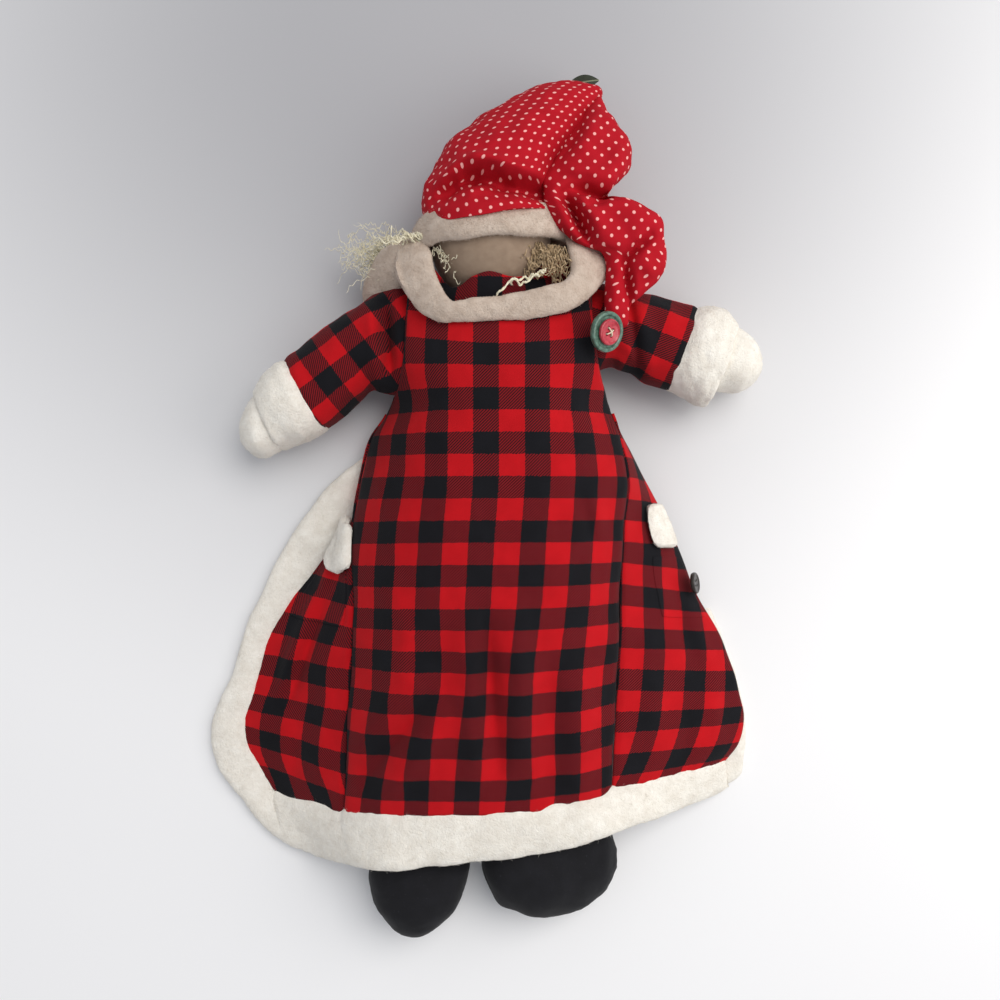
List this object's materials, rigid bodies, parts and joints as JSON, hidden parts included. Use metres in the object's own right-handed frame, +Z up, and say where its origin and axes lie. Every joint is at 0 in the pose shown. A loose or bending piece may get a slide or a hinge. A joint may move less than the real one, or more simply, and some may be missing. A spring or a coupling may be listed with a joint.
{
  "type": "santa doll",
  "caption": "Cloth santa doll lying on its front: stuffed body with swinging arms and legs, tilting head, stocking hat with a folded tail, and a fleece-trimmed checked coat spread open.",
  "frame": {"origin": "on the table under the middle of the doll's footprint", "axes": "+Y along the spine towards the head, +Z up out of the doll's back, +X to the doll's right side as seen from above"},
  "size_m": [0.2934, 0.4432, 0.0716],
  "materials": {
    "checked_flannel": "napped twill, red and black check",
    "dotted_cotton": "plain weave, small pale dots",
    "fleece": "short pile",
    "muslin": "plain weave",
    "black_felt": "napped",
    "fibrefill": "loose fibre",
    "yarn": "curly boucle yarn",
    "green_plastic": "satin",
    "red_plastic": "satin",
    "dark_plastic": "satin",
    "black_bead": "polished",
    "cotton_thread": "twisted thread",
    "sprig_leaf": "matt"
  },
  "bodies": {
    "torso": {"torso_cover": "checked_flannel", "torso_stuffing": "fibrefill", "coat_back": "checked_flannel", "coat_left_front": "checked_flannel", "coat_right_front": "checked_flannel", "hem_trim": "fleece", "left_front_trim": "fleece", "right_front_trim": "fleece", "coat_collar": "fleece", "left_pocket": "checked_flannel", "left_pocket_cuff": "fleece", "right_pocket": "checked_flannel", "right_pocket_cuff": "fleece", "pocket_button": "dark_plastic"},
    "head": {"head_cover": "muslin", "head_stuffing": "fibrefill", "nose": "muslin", "left_eye": "black_bead", "right_eye": "black_bead", "beard": "yarn", "moustache": "yarn", "hair_left": "yarn", "hair_right": "yarn", "hat_brim": "fleece", "hat_crown": "dotted_cotton", "hat_sprig": "sprig_leaf"},
    "hat_tail": {"hat_tail": "dotted_cotton"},
    "tail_button": {"tail_button_rim": "green_plastic", "tail_button_centre": "red_plastic", "tail_button_thread": "cotton_thread"},
    "left_arm": {"left_arm": "muslin", "left_sleeve": "checked_flannel", "left_cuff": "fleece", "left_mitten": "muslin"},
    "right_arm": {"right_arm": "muslin", "right_sleeve": "checked_flannel", "right_cuff": "fleece", "right_mitten": "muslin"},
    "left_leg": {"left_leg": "black_felt", "left_boot": "black_felt"},
    "right_leg": {"right_leg": "black_felt", "right_boot": "black_felt"}
  },
  "joints": [
    {"name": "neck_tilt", "type": "hinge", "parent": "torso", "child": "head", "pos_m": [0.0038, 0.1059, 0.036], "axis": [0, 0, 1], "range_deg": [-8, 8]},
    {"name": "hat_tail_lift", "type": "hinge", "parent": "head", "child": "hat_tail", "pos_m": [0.0317, 0.1529, 0.066], "axis": [-0.4178, -0.9085, 0], "range_deg": [0, 55]},
    {"name": "tail_button_turn", "type": "hinge", "parent": "hat_tail", "child": "tail_button", "pos_m": [0.0603, 0.0839, 0.0602], "axis": [0.6111, -0.199, 0.7661], "range_deg": [-40, 40]},
    {"name": "left_shoulder_swing", "type": "hinge", "parent": "torso", "child": "left_arm", "pos_m": [-0.0452, 0.0869, 0.024], "axis": [0, 0, 1], "range_deg": [-25, 12]},
    {"name": "right_shoulder_swing", "type": "hinge", "parent": "torso", "child": "right_arm", "pos_m": [0.0618, 0.0889, 0.024], "axis": [0, 0, 1], "range_deg": [-18, 25]},
    {"name": "left_hip_swing", "type": "hinge", "parent": "torso", "child": "left_leg", "pos_m": [-0.0117, -0.0755, 0.02], "axis": [0, 0, 1], "range_deg": [-4.5, 1.5]},
    {"name": "right_hip_swing", "type": "hinge", "parent": "torso", "child": "right_leg", "pos_m": [0.0283, -0.0755, 0.02], "axis": [0, 0, 1], "range_deg": [-1.5, 9]}
  ]
}
